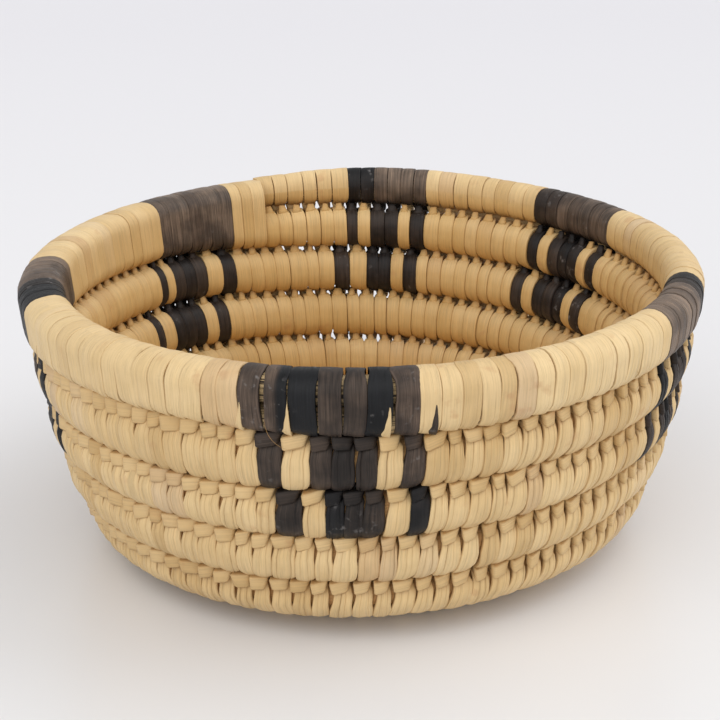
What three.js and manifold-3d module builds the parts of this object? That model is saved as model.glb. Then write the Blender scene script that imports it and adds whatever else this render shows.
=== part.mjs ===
// Coiled yucca basket: one spiral bundle of leaf fibre, sewn row to row with natural and dark leaf strips.
// Millimetres, +Z up, the middle of the underside at the origin.

import * as THREE from 'three';
import Module from 'manifold-3d';

// Overall form
const rimOuterRadius = 120;
const basketHeight = 100.5;
const wallSlope = THREE.MathUtils.degToRad(3);
const footSlope = THREE.MathUtils.degToRad(19);
const cornerRadius = 20;

// The wrapped coil: rows stand one pitch apart, measured along the middle of the wall
const coilPitch = 18.4;
const rowThickness = 16.2;
const stripThickness = 1.6;
const fitGap = 0.3;
const rowShoulder = 0.57;

// On the outside, knots fill the groove over a row, and the ends of its strips hang into the groove under it
const knotReach = 0.65;
const hangReach = 0.62;
const hangDepth = 0.91;

// The rim wraps the last coil alone at its end, and the last two coils everywhere else
const rimWidth = 17.8;
const rimEndWidth = 12.4;
const rimEndHeight = 12.4;
const rimOverhang = 0;
const rimGroove = 0.6;
const rimRound = 4;
const rimFlat = 0.48;
const rimCornerShare = 0.6;

// The bundle inside the strips: it fills the sleeves but for a clearance, and tapers out inside the rim
const bundleClearance = 0.4;
const bundleShoulder = 0.45;
const bundleCoilGap = 0.6;
const bundleTipHeight = 3;
const bundleTipWidth = 5;
const bundleStartWidth = 2;

// How much of a turn the bundle takes to narrow below the step, to settle in the rim, and to fill its top
const narrowingTurn = 0.12;
const settlingTurn = 0.15;
const fillingTurn = 0.2;

// Where the last coil begins and ends, and how finely a turn is divided
const stepAngle = 110;
const stationsPerTurn = 22;

// Six dark motifs: the angle of each past the step, its width on the rim, and its dark stitches at the core
const motifs = [
  { angle: 21.5, width: 21.5, core: 3 },
  { angle: 84.5, width: 19.5, core: 3 },
  { angle: 156, width: 26.5, core: 3 },
  { angle: 226, width: 19.5, core: 3 },
  { angle: 287, width: 22.5, core: 3 },
  { angle: 334, width: 19, core: 2 },
];
const stripePattern = ['dark', 'light', 'core', 'light', 'dark'];
const motifRows = 2;
const motifSlant = 1;
const motifNarrowing = 0.9;
const stitchWidth = 6.15;
const neckWidth = 1.6;
const neckThickness = 4;
const neckBite = 0.75 * stripThickness;

// Rows of the wall under the rim, the arcs that a plain row is sewn in, and the least turn of the start
const wallRows = 4;
const arcsPerPlainRow = 6;
const shortestStart = 0.3;

// Surfaces
const strawColour = 0xd8bb86;
const darkColour = 0x4b413b;
const bundleColour = 0xb79b63;
const strawRoughness = 0.7;
const floorRoughness = 0.75;
const darkRoughness = 0.6;
const bundleRoughness = 0.9;

// Shares of a turn that count as nothing
const sameTurn = 1e-6;
const shortestTurn = 1e-4;

// How far a path of some length gets inwards and down while it bends evenly from one lean to another
function bend(length, fromLean, toLean) {
  const half = (toLean - fromLean) / 2;
  const chord = half === 0 ? length : (length * Math.sin(half)) / half;
  const middle = (fromLean + toLean) / 2;
  return { inward: chord * Math.sin(middle), down: chord * Math.cos(middle) };
}

// The middle of the wall as a path: depth runs from the rim's top down the wall, round the corner, to the centre
const rowHalf = rowThickness / 2;
const wallTopRadius = rimOuterRadius - rimOverhang - rimWidth / 2;
const cornerTop = rowHalf + cornerRadius * (1 - Math.sin(footSlope));
const wallLength = (basketHeight - cornerTop) / bend(1, wallSlope, footSlope).down;
const cornerLength = cornerRadius * (Math.PI / 2 - footSlope);
const wallFootRadius = wallTopRadius - bend(wallLength, wallSlope, footSlope).inward;
const floorRadius = wallFootRadius - cornerRadius * Math.cos(footSlope);
const pathLength = wallLength + cornerLength + floorRadius;

// A place on the middle of the wall: radius, height and how far the wall leans there
function wallPlace(depth) {
  if (depth <= wallLength) {
    const lean = THREE.MathUtils.lerp(wallSlope, footSlope, depth / wallLength);
    const gone = bend(depth, wallSlope, lean);
    return { radius: wallTopRadius - gone.inward, height: basketHeight - gone.down, lean };
  }
  if (depth <= wallLength + cornerLength) {
    const lean = footSlope + (depth - wallLength) / cornerRadius;
    return {
      radius: floorRadius + cornerRadius * Math.cos(lean),
      height: rowHalf + cornerRadius * (1 - Math.sin(lean)),
      lean,
    };
  }
  return { radius: pathLength - depth, height: rowHalf, lean: Math.PI / 2 };
}

// A point of a cross-section: out is measured square to the wall, up along it
function sectionPoint(turn, place, out, up) {
  const angle = THREE.MathUtils.degToRad(stepAngle + 360 * turn);
  const radius = place.radius + out * Math.cos(place.lean) + up * Math.sin(place.lean);
  const height = place.height - out * Math.sin(place.lean) + up * Math.cos(place.lean);
  return new THREE.Vector3(radius * Math.cos(angle), radius * Math.sin(angle), Math.max(height, 0));
}

// Rows fan apart round the corner, so their inner faces are no taller than the room that they have there
const cornerShoulder = (cornerRadius - rowHalf) * Math.tan(coilPitch / 2 / cornerRadius) - fitGap;

// Six-sided section with flat outer and inner faces
function hexagon(turn, place, middle, halfOut, halfUp, shoulder) {
  const outer = halfUp * shoulder;
  const inner = Math.min(outer, cornerShoulder);
  const corners = [
    [halfOut, outer], [0, halfUp], [-halfOut, inner],
    [-halfOut, -inner], [0, -halfUp], [halfOut, -outer],
  ];
  return corners.map(([out, up]) => sectionPoint(turn, place, middle + out, up));
}

// Eight-sided section for the tall rim: straight sides, sloped corners of one height, flat top and foot
function octagon(turn, place, middle, halfOut, halfUp, corner) {
  const side = halfUp - corner;
  const flat = halfOut * rimFlat;
  const corners = [
    [halfOut, side], [flat, halfUp], [-flat, halfUp], [-halfOut, side],
    [-halfOut, -side], [-flat, -halfUp], [flat, -halfUp], [halfOut, -side],
  ];
  return corners.map(([out, up]) => sectionPoint(turn, place, middle + out, up));
}

// The start of the coil: a tight curl, whose first full turn just clears it
const bundleInset = stripThickness + bundleClearance;
const fullHalfHeight = (coilPitch - fitGap) / 2;
const startWidth = bundleStartWidth + 2 * bundleInset;
const startRadius = startWidth / 2 + fitGap;
const firstTurnRadius = startRadius + startWidth / 2 + fitGap + fullHalfHeight;

// Turns are counted along the coil: 0 at the foot of the rim's step, rows of the wall and floor below it
const rowDepth = (turn) => rimEndHeight + coilPitch / 2 - coilPitch * turn;
const firstTurn = (rowDepth(0) - (pathLength - firstTurnRadius)) / coilPitch;
const startTurn = firstTurn - 1;
const floorRows = Math.floor(-startTurn - wallRows - shortestStart);
const rimHeight = (turn) => rimEndHeight + coilPitch * (1 - turn);
const ease = THREE.MathUtils.smoothstep;
const mix = THREE.MathUtils.lerp;

function mixPlaces(from, to, share) {
  return {
    radius: mix(from.radius, to.radius, share),
    height: mix(from.height, to.height, share),
    lean: mix(from.lean, to.lean, share),
  };
}

// The first turn grows from a tight curl at the middle of the floor
function coilPlace(turn) {
  if (turn >= firstTurn) {
    return wallPlace(rowDepth(turn));
  }
  const grown = turn - startTurn;
  return { radius: mix(startRadius, firstTurnRadius, grown), height: rowHalf, lean: Math.PI / 2 };
}

function rowHalfHeight(turn) {
  return mix(startWidth / 2, fullHalfHeight, THREE.MathUtils.clamp(turn - startTurn, 0, 1));
}

// A row is six-sided too, with a corner more at the knots over it and at the strip ends under it
function rowSection(turn) {
  const place = coilPlace(turn);
  const halfUp = rowHalfHeight(turn);
  const knots = sectionPoint(turn, place, rowHalf * knotReach, halfUp);
  const stripEnds = sectionPoint(turn, place, rowHalf * hangReach, -halfUp * hangDepth);
  const [first, top, innerTop, innerFoot, foot, last] = hexagon(turn, place, 0, rowHalf, halfUp, rowShoulder);
  return [first, knots, top, innerTop, innerFoot, foot, stripEnds, last];
}

// The corner of the bore that each outer corner lies over, in the rows and in the rim
const rowBoreCorners = [0, 1, 1, 2, 3, 4, 5, 5];
const rimBoreCorners = [0, 1, 2, 3, 4, 5, 6, 7];

function rowBore(turn) {
  const halfUp = rowHalfHeight(turn) - stripThickness;
  return hexagon(turn, coilPlace(turn), 0, rowHalf - stripThickness, halfUp, rowShoulder);
}

// A place inside the rim, whose section is straight: depth runs down it with the lean of its middle
function rimPlace(turn, depth) {
  const { radius, height, lean } = wallPlace(rimHeight(turn) / 2);
  const above = rimHeight(turn) / 2 - depth;
  return { radius: radius + above * Math.sin(lean), height: height + above * Math.cos(lean), lean };
}

// The rim narrows from two coils to one: its outer side stays, and its inner side draws back over the turn
const rimNarrowed = (turn) => (rimWidth - rimEndWidth) * THREE.MathUtils.clamp(turn, 0, 1);
const rimMiddle = (turn) => rimOverhang + rimNarrowed(turn) / 2;
const rimHalfWidth = (turn) => (rimWidth - rimNarrowed(turn)) / 2;

// Its top stays level while its height falls by one pitch over the turn
function rimSection(turn, shrink) {
  const halfUp = (rimHeight(turn) - fitGap) / 2 - shrink;
  const corner = rimRound - shrink * rimCornerShare;
  const place = rimPlace(turn, rimHeight(turn) / 2);
  return octagon(turn, place, rimMiddle(turn), rimHalfWidth(turn) - shrink, halfUp, corner);
}

const rimCrest = (turn) => rimSection(turn, 0);
const rimValley = (turn) => rimSection(turn, rimGroove);
const rimBore = (turn) => rimSection(turn, stripThickness);

// At the step the bundle passes from the row's bore into the rim's, through the width that both share
const bundleHalfOut = rowHalf - bundleInset;
const rimHalfOut = (turn) => rimHalfWidth(turn) - bundleInset;
const rimHalfUp = (rimEndHeight - fitGap) / 2 - bundleInset;
const passInner = Math.max(-bundleHalfOut, rimMiddle(0) - rimHalfOut(0));
const passOuter = Math.min(bundleHalfOut, rimMiddle(0) + rimHalfOut(0));
const passHalfOut = (passOuter - passInner) / 2;
const passMiddle = (passOuter + passInner) / 2;

// In the rim the bundle's flanks are low enough for the sloped corners of the bore
const boreCorner = rimRound - stripThickness * rimCornerShare;
const flankRoom = rimHalfUp + bundleClearance - boreCorner;
const rimShoulder = Math.min(bundleShoulder, flankRoom / rimHalfUp);
const tipTurn = 2 - (bundleTipHeight + bundleCoilGap) / coilPitch;

// The bundle follows the rows, shifts into the middle of the rim, and tapers out on top of its own last turn
function bundleSection(turn) {
  if (turn <= 0) {
    const narrowed = ease(turn, -narrowingTurn, 0);
    const halfOut = mix(bundleHalfOut, passHalfOut, narrowed);
    const halfUp = mix(rowHalfHeight(turn) - bundleInset, rimHalfUp, narrowed);
    const shoulder = mix(bundleShoulder, rimShoulder, narrowed);
    return hexagon(turn, coilPlace(turn), passMiddle * narrowed, halfOut, halfUp, shoulder);
  }
  if (turn <= 1) {
    const settled = ease(turn, 0, settlingTurn);
    const depth = mix(rowDepth(turn), rimHeight(turn) - rimEndHeight / 2, settled);
    const place = mixPlaces(wallPlace(depth), rimPlace(turn, depth), settled);
    const middle = mix(passMiddle, rimMiddle(turn), settled);
    const halfOut = mix(passHalfOut, rimHalfOut(turn), settled);
    return hexagon(turn, place, middle, halfOut, rimHalfUp, rimShoulder);
  }
  const past = turn - 1;
  const room = (coilPitch * (1 - past) - bundleCoilGap) / 2;
  const halfUp = mix(rimHalfUp, room, ease(past, 0, fillingTurn));
  const halfOut = mix(rimHalfOut(1), bundleTipWidth / 2, past / (tipTurn - 1));
  const place = rimPlace(past, fitGap / 2 + bundleInset + halfUp);
  return hexagon(turn, place, rimMiddle(1), halfOut, halfUp, rimShoulder);
}

// Rings between stations lie on the straight run from one station to the next, so that every layer nests
function ringAt(turn, section) {
  const step = Math.floor(turn * stationsPerTurn + sameTurn);
  const share = turn * stationsPerTurn - step;
  const here = section(step / stationsPerTurn);
  if (share < sameTurn) {
    return here;
  }
  const next = section((step + 1) / stationsPerTurn);
  return here.map((point, i) => point.clone().lerp(next[i], share));
}

// The turns of two ends and of every station between them
function turnsBetween(from, to) {
  const turns = [from];
  let step = Math.floor(from * stationsPerTurn) + 1;
  while (step / stationsPerTurn < to - shortestTurn) {
    if (step / stationsPerTurn > from + shortestTurn) {
      turns.push(step / stationsPerTurn);
    }
    step += 1;
  }
  turns.push(to);
  return turns;
}

function meshFaces(points, faces) {
  const geometry = new THREE.BufferGeometry();
  geometry.setAttribute('position', new THREE.Float32BufferAttribute(points.flatMap((p) => p.toArray()), 3));
  geometry.setIndex(faces);
  return geometry;
}

// Faces of a band between rings that follow each other; turned about for the inside of a bore
function bandFaces(faces, first, ringCount, sides, inward) {
  for (let ring = 0; ring < ringCount - 1; ring += 1) {
    for (let side = 0; side < sides; side += 1) {
      const a = first + ring * sides + side;
      const b = first + ring * sides + ((side + 1) % sides);
      const c = a + sides;
      const d = b + sides;
      if (inward) {
        faces.push(a, b, d, a, d, c);
      } else {
        faces.push(a, c, d, a, d, b);
      }
    }
  }
}

// A sleeve of strips: outer rings and bore rings, closed by a flat ring of faces at each end
function sleeve(outerRings, boreRings, boreCorners) {
  const sides = outerRings[0].length;
  const boreSides = boreRings[0].length;
  const bore = outerRings.length * sides;
  const points = [...outerRings.flat(), ...boreRings.flat()];
  const faces = [];
  bandFaces(faces, 0, outerRings.length, sides, false);
  bandFaces(faces, bore, boreRings.length, boreSides, true);
  const lastOuter = bore - sides;
  const lastBore = points.length - boreSides;
  for (let side = 0; side < sides; side += 1) {
    const next = (side + 1) % sides;
    const under = boreCorners[side];
    const nextUnder = boreCorners[next];
    faces.push(side, next, bore + nextUnder);
    faces.push(lastOuter + side, lastBore + nextUnder, lastOuter + next);
    if (under !== nextUnder) {
      faces.push(side, bore + nextUnder, bore + under);
      faces.push(lastOuter + side, lastBore + under, lastBore + nextUnder);
    }
  }
  return meshFaces(points, faces);
}

// A solid tube through rings, closed by a flat end at each side
function solidTube(rings) {
  const sides = rings[0].length;
  const points = rings.flat();
  const last = points.length - sides;
  const faces = [];
  bandFaces(faces, 0, rings.length, sides, false);
  for (let side = 1; side < sides - 1; side += 1) {
    faces.push(0, side, side + 1);
    faces.push(last, last + side + 1, last + side);
  }
  return meshFaces(points, faces);
}

// Half of the gap that each piece leaves to the next one along the coil, as a share of a turn
function endGap(turn) {
  return fitGap / 2 / (2 * Math.PI * coilPlace(Math.min(turn, 0)).radius);
}

function rowSleeve(from, to) {
  const turns = turnsBetween(from + endGap(from), to - endGap(to));
  const outerRings = turns.map((turn) => ringAt(turn, rowSection));
  return sleeve(outerRings, turns.map((turn) => ringAt(turn, rowBore)), rowBoreCorners);
}

// Rim strips lie side by side: each is proud along its middle and dips where it meets the next
function rimSleeve(from, to, stitches) {
  const start = from + endGap(from);
  const end = to - endGap(to);
  const outer = [];
  for (let half = 0; half <= 2 * stitches; half += 1) {
    const turn = mix(start, end, half / (2 * stitches));
    outer.push(ringAt(turn, half % 2 ? rimCrest : rimValley));
  }
  return sleeve(outer, turnsBetween(start, end).map((turn) => ringAt(turn, rimBore)), rimBoreCorners);
}

function stitchesIn(from, to) {
  const rimMiddleRadius = rimOuterRadius - rimWidth / 2;
  return Math.round(((to - from) * 2 * Math.PI * rimMiddleRadius) / stitchWidth);
}

// Booleans for the pieces that are sewn through from one row to the next
const wasm = await Module();
wasm.setup();

function toManifold(geometry) {
  const vertProperties = new Float32Array(geometry.getAttribute('position').array);
  const triVerts = new Uint32Array(geometry.getIndex().array);
  return new wasm.Manifold(new wasm.Mesh({ numProp: 3, vertProperties, triVerts }));
}

function joined(geometries) {
  const solid = geometries.map(toManifold).reduce((whole, piece) => whole.add(piece));
  const mesh = solid.getMesh();
  const geometry = new THREE.BufferGeometry();
  geometry.setAttribute('position', new THREE.Float32BufferAttribute(mesh.vertProperties, 3));
  geometry.setIndex(Array.from(mesh.triVerts));
  return geometry;
}

// The neck of a stitch: a short block across the gap between a row and the one above it
function neck(turn) {
  const edge = (at) => wallPlace(rowDepth(at) - coilPitch / 2);
  const reach = fitGap / 2 + neckBite;
  const half = neckThickness / 2;
  const corners = [[half, reach], [-half, reach], [-half, -reach], [half, -reach]];
  const section = (at) => corners.map(([out, up]) => sectionPoint(at, edge(at), out, up));
  const share = neckWidth / 2 / (2 * Math.PI * edge(turn).radius);
  return solidTube([ringAt(turn - share, section), ringAt(turn + share, section)]);
}

// Columns of a motif on one row: from and to are turns, light columns stand between the dark ones
const stitchesOf = (motif) => stripePattern.length - 1 + motif.core;

function motifColumns(motif, row) {
  const middle = (motif.angle + motifSlant * row) / 360 - row;
  const width = (motif.width * (row > 0 ? motifNarrowing : 1)) / 360;
  const column = width / stitchesOf(motif);
  let from = middle - width / 2;
  return stripePattern.map((kind) => {
    const to = from + column * (kind === 'core' ? motif.core : 1);
    const span = { kind, from, to, middle: (from + to) / 2 };
    from = to;
    return span;
  });
}

function motifEdges(motif, row) {
  const columns = motifColumns(motif, row);
  return [columns[0].from, columns[columns.length - 1].to];
}

const basket = new THREE.Group();
basket.name = 'coiled_yucca_basket';

function addPiece(name, geometry, color, roughness) {
  geometry.computeVertexNormals();
  const mesh = new THREE.Mesh(geometry, new THREE.MeshStandardMaterial({ color, roughness, metalness: 0 }));
  mesh.name = name;
  basket.add(mesh);
}

// The unbroken bundle, and the least gap between one of its turns and the next
const bundleStart = startTurn + endGap(startTurn);
const bundleRings = turnsBetween(bundleStart, tipTurn).map((turn) => ringAt(turn, bundleSection));
const halfTurnOfRings = Math.floor(stationsPerTurn / 2);
let bundleGap = Infinity;
for (let ring = 0; ring < bundleRings.length; ring += 1) {
  for (let other = ring + halfTurnOfRings; other < bundleRings.length; other += 1) {
    for (const point of bundleRings[ring]) {
      for (const facing of bundleRings[other]) {
        bundleGap = Math.min(bundleGap, point.distanceTo(facing));
      }
    }
  }
}
console.log(`foundation coil: least gap to itself ${bundleGap.toFixed(2)} mm`);
addPiece('foundation_coil', solidTube(bundleRings), bundleColour, bundleRoughness);

// Dark motifs: a block on the rim with its stripes on the rows below, sewn through at the necks
motifs.forEach((motif, index) => {
  const number = index + 1;
  const darkPieces = [rimSleeve(...motifEdges(motif, 0), stitchesOf(motif))];
  const lightPieces = { a: [], b: [] };
  for (let row = 1; row <= motifRows; row += 1) {
    const above = motifColumns(motif, row - 1);
    motifColumns(motif, row).forEach((column, place) => {
      const piece = rowSleeve(column.from, column.to);
      const neckTurn = row === 1 ? column.middle : (column.middle + above[place].middle - 1) / 2;
      if (column.kind === 'light') {
        const side = place < stripePattern.length / 2 ? 'a' : 'b';
        lightPieces[side].push(piece);
        if (row > 1) {
          lightPieces[side].push(neck(neckTurn));
        }
      } else {
        darkPieces.push(piece, neck(neckTurn));
      }
    });
  }
  addPiece(`motif_dark_${number}`, joined(darkPieces), darkColour, darkRoughness);
  addPiece(`motif_light_${number}a`, joined(lightPieces.a), strawColour, strawRoughness);
  addPiece(`motif_light_${number}b`, joined(lightPieces.b), strawColour, strawRoughness);
});

// Natural strips on the rim, from the step round to the step again
const rimEdges = [0, ...motifs.flatMap((motif) => motifEdges(motif, 0)), 1];
for (let edge = 0; edge < rimEdges.length; edge += 2) {
  const [from, to] = [rimEdges[edge], rimEdges[edge + 1]];
  const piece = rimSleeve(from, to, stitchesIn(from, to));
  addPiece(`rim_natural_${edge / 2 + 1}`, piece, strawColour, strawRoughness);
}

// Natural strips between the stripes of the patterned rows, from the lowest of them up to the step
const stripeEdges = [];
for (let row = motifRows; row >= 1; row -= 1) {
  stripeEdges.push(...motifs.flatMap((motif) => motifEdges(motif, row)));
}
const patternedEdges = [...stripeEdges.slice(1), 0];
for (let edge = 0; edge < patternedEdges.length; edge += 2) {
  const piece = rowSleeve(patternedEdges[edge], patternedEdges[edge + 1]);
  addPiece(`patterned_row_natural_${edge / 2 + 1}`, piece, strawColour, strawRoughness);
}

// Plain rows of the wall in equal arcs, up to the first stripe
const plainArcs = (wallRows - motifRows) * arcsPerPlainRow;
for (let arc = 0; arc < plainArcs; arc += 1) {
  const from = mix(-wallRows, stripeEdges[0], arc / plainArcs);
  const to = mix(-wallRows, stripeEdges[0], (arc + 1) / plainArcs);
  addPiece(`plain_row_natural_${arc + 1}`, rowSleeve(from, to), strawColour, strawRoughness);
}

// Rows of the floor, and the tight start at its middle
for (let row = 1; row <= floorRows; row += 1) {
  const outerEnd = -wallRows - row + 1;
  addPiece(`floor_row_${row}`, rowSleeve(outerEnd - 1, outerEnd), strawColour, floorRoughness);
}
addPiece('floor_start', rowSleeve(startTurn, -wallRows - floorRows), strawColour, floorRoughness);

export default basket;
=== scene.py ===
import math
import bpy
import numpy as np
from mathutils import Matrix, Vector


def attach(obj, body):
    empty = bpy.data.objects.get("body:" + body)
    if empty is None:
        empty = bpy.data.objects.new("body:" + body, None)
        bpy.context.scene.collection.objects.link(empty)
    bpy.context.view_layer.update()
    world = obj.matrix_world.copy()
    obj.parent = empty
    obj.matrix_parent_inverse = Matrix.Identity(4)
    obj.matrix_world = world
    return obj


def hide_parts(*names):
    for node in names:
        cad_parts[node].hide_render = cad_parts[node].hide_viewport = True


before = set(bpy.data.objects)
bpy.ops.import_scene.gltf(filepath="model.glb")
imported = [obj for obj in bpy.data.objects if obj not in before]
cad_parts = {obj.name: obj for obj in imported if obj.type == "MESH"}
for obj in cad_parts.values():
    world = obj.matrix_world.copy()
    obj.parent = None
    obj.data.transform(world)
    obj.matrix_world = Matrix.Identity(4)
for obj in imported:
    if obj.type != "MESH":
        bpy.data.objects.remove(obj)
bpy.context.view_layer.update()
print("frame loaded:", len(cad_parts), "nodes")

dice = np.random.default_rng(41)
fullTurn = 2 * math.pi
aboveTable = .00002  # nothing goes lower than this, so that no face lies in the table top

# the coil that everything is sewn on, in metres, as in the solids
coil = {
    "rimRadius": 0.120, "height": 0.1005, "rimLean": math.radians(3), "footLean": math.radians(19),
    "cornerRadius": 0.020, "pitch": 0.0184, "thickness": 0.0162, "stepAngle": 110, "stepTurn": .004,
    "rimWidth": 0.0178, "rimEndWidth": 0.0124, "rimEndHeight": 0.0124,
    "startRadius": 0.0033, "startHalf": 0.003, "firstTurnRadius": 0.01565,
    "rowGap": 0.0006, "stitch": 0.006, "wallRows": 4,
}


# how far a path gets inwards and down while it bends evenly from one lean to another: the chord of an arc
def bend(length, fromLean, toLean):
    chord = length * np.sinc((toLean - fromLean) / fullTurn)
    middle = (fromLean + toLean) / 2
    return chord * np.sin(middle), chord * np.cos(middle)


rowHalf = coil["thickness"] / 2
halfPitch = coil["pitch"] / 2
topRadius = coil["rimRadius"] - coil["rimWidth"] / 2
cornerTop = rowHalf + coil["cornerRadius"] * (1 - math.sin(coil["footLean"]))
wallLength = (coil["height"] - cornerTop) / bend(1, coil["rimLean"], coil["footLean"])[1]
cornerTurn = math.pi / 2 - coil["footLean"]
cornerLength = coil["cornerRadius"] * cornerTurn
footRadius = topRadius - bend(wallLength, coil["rimLean"], coil["footLean"])[0]
floorRadius = footRadius - coil["cornerRadius"] * math.cos(coil["footLean"])
pathLength = wallLength + cornerLength + floorRadius


# middle of the wall: an even bend down the wall, a tighter one round the corner, then level to the centre
def wallPlace(depth):
    depth = np.asarray(depth, float)
    onWall = np.minimum(depth, wallLength)
    wallLean = coil["rimLean"] + (coil["footLean"] - coil["rimLean"]) * onWall / wallLength
    inward, down = bend(onWall, coil["rimLean"], wallLean)
    turned = np.clip((depth - wallLength) / coil["cornerRadius"], 0, cornerTurn)
    cornerIn, cornerDown = bend(turned * coil["cornerRadius"], coil["footLean"], coil["footLean"] + turned)
    onFloor = np.maximum(depth - wallLength - cornerLength, 0)
    return topRadius - inward - cornerIn - onFloor, coil["height"] - down - cornerDown, wallLean + turned


# turn 0 is the step in the rim: the rim runs from 0 to 1, the rows count down below it;
# a row's middle is half a pitch under the rim's end at turn 0, and one pitch lower for each turn before that
def rowDepth(turn):
    return coil["rimEndHeight"] + halfPitch - coil["pitch"] * np.asarray(turn, float)


# the rim's wrapping is one coil high at its end, and one pitch higher a whole turn earlier
def rimHeight(turn):
    return coil["rimEndHeight"] + coil["pitch"] * (1 - np.asarray(turn, float))


# the rim's inner side draws back over its turn, from two coils to one
def rimNarrowed(turn):
    return (coil["rimWidth"] - coil["rimEndWidth"]) * np.clip(turn, 0, 1)


# the coil climbs quickly behind the step, so the rows lie higher on the left: turn of an upper edge, millimetres
climb = [(-4.1, 0), (-3, .4), (-2.94, 1.8), (-2.69, 1.9), (-2.61, .8), (-2.53, 0), (-2.1, .2),
         (-2, .9), (-1.94, 3.2), (-1.69, 3.1), (-1.61, 1.2), (-1.54, 0), (-1.12, .3),
         (-1, 1.2), (-.94, 4.6), (-.8, 3.8), (-.69, 2.6), (-.61, .4), (-.55, 0), (-.1, .3),
         (0, 1.7), (.05, 5.2), (.31, 5.0), (.36, 4.3), (.39, 3.3), (.417, 1.8), (.444, .9), (.5, 0), (2, 0)]


# raise of an upper edge: the table's value, averaged over a short stretch
def climbAt(turn):
    at, mm = np.array(climb).T
    return np.mean([np.interp(turn + d, at, mm) for d in (-.02, 0, .02)], 0) / 1000


# on a row the raise goes evenly from its foot's to its top's
def climbOnRow(turn, up):
    share = np.clip(.5 + up / coil["pitch"], 0, 1)
    return climbAt(turn) * (1 - share) + climbAt(turn + 1) * share


# on the rim it goes evenly from its foot's to nothing at the top
def climbOnRim(turn, depth):
    return climbAt(turn) * np.clip(depth / rimHeight(turn), 0, 1)


firstTurn = float((rowDepth(0) - (pathLength - coil["firstTurnRadius"])) / coil["pitch"])
startTurn = firstTurn - 1


# the row's place at a turn: the wall's path, but the first turn opens evenly from the tight start
def rowPlace(turn):
    turn = np.asarray(turn, float)
    radius, height, lean = wallPlace(rowDepth(np.maximum(turn, firstTurn)))
    grown = np.clip(turn - startTurn, 0, 1)
    early = turn < firstTurn
    curl = coil["startRadius"] + (coil["firstTurnRadius"] - coil["startRadius"]) * grown
    return np.where(early, curl, radius), np.where(early, rowHalf, height), np.where(early, math.pi / 2, lean)


# half a row's height along the wall: grows evenly over the first turn to half a pitch, less half the gap
def rowHalfUp(turn):
    grown = np.clip(np.asarray(turn, float) - startTurn, 0, 1)
    return coil["startHalf"] + (halfPitch - coil["startHalf"]) * grown - coil["rowGap"] / 2


# the basket isn't quite round: its right side stands out a little
bulge = {"out": .0018, "angle": -.14, "power": 6, "fadesBelow": .04}


# a cosine about the bulge's angle, raised to a power so that it is narrow, fading evenly to nothing at the foot
def outOfRound(angle, height):
    swell = np.maximum(np.cos(angle - bulge["angle"]), 0) ** bulge["power"]
    return bulge["out"] * swell * np.clip(height / bulge["fadesBelow"], 0, 1)


# a point beside the path: out is square to the wall, up runs along it
def besidePath(turn, place, out, up):
    radius, height, lean = place
    angle = np.radians(coil["stepAngle"]) + fullTurn * turn
    reach = radius + outOfRound(angle, height) + out * np.cos(lean) + up * np.sin(lean)
    rise = height - out * np.sin(lean) + up * np.cos(lean)
    return np.stack([reach * np.cos(angle), reach * np.sin(angle), rise], -1)


# one trip round a rounded rectangle: quarter circles at the corners, straight runs on the two sides
# columns are the corner's side signs and the direction that the surface faces
def loopTable(cornerSteps, sideSteps):
    rows = []
    quarter = np.linspace(0, math.pi / 2, cornerSteps)
    side = np.linspace(1, -1, sideSteps + 2)[1:-1]
    for sx, sy, start in ((1, 1, math.pi / 2), (1, -1, 0), (-1, -1, -math.pi / 2), (-1, 1, -math.pi)):
        facing = start - quarter
        rows.append(np.stack([np.full_like(facing, sx), np.full_like(facing, sy),
                              np.cos(facing), np.sin(facing)], -1))
        if sx * sy > 0:  # after a top outer or lower inner corner comes a straight side
            run = side * sy
            rows.append(np.stack([np.full_like(run, sx), run, np.full_like(run, sx), 0 * run], -1))
    return np.concatenate(rows)


# share of the way round for each loop point, from the top over the outside to the inside
def loopShare(loop, halfOut, halfUp, corner):
    x = loop[:, 0] * (halfOut - corner) + corner * loop[:, 2]
    y = loop[:, 1] * (halfUp - corner) + corner * loop[:, 3]
    step = np.hypot(np.diff(x, append=x[0]), np.diff(y, append=y[0]))
    return np.concatenate([[0], np.cumsum(step)[:-1]]) / step.sum(), step.sum()


# smooth step from 0 to 1: three squares less two cubes
def ease(x):
    x = np.clip(x, 0, 1)
    return x * x * (3 - 2 * x)


# value at a share of the loop, eased between keys
def keyed(share, keys):
    at, value = np.array(keys).T
    step = np.clip(np.searchsorted(at, share, side="right") - 1, 0, len(at) - 2)
    return value[step] + (value[step + 1] - value[step]) * ease((share - at[step]) / (at[step + 1] - at[step]))


# what all strips share, in stitch widths: gaps beside them as mean and spread of a logarithm, sway along them,
# ends that draw together as mean and spread, slits under the knots; ranges are the least and the most;
# "At" says where on the loop, and a higher "rare" makes fewer strips draw in to a narrow neck under the knot
anyStrip = {
    "gap": (-4.4, .8), "gapRange": (.002, .09), "sway": .02, "slit": .03, "drawn": (.02, .08), "drawnRange": (-.1, .14),
    "rare": 1.6, "mostRaised": 1.8, "creaseShade": .8, "toneBlend": .16,
    "drawnAt": [(0, 1), (.09, 0), (.92, 0), (1, 1)], "slitAt": [(0, 0), (.06, 1), (.15, 1), (.22, 0), (1, 0)],
    "gatherAt": [(0, 1), (.10, 1), (.15, .7), (.22, 0), (.92, 0), (1, 1)],
    "slopeAt": [(0, 0), (.34, 0), (.43, 1), (.5, 1), (.58, 0), (1, 0)],
}
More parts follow.
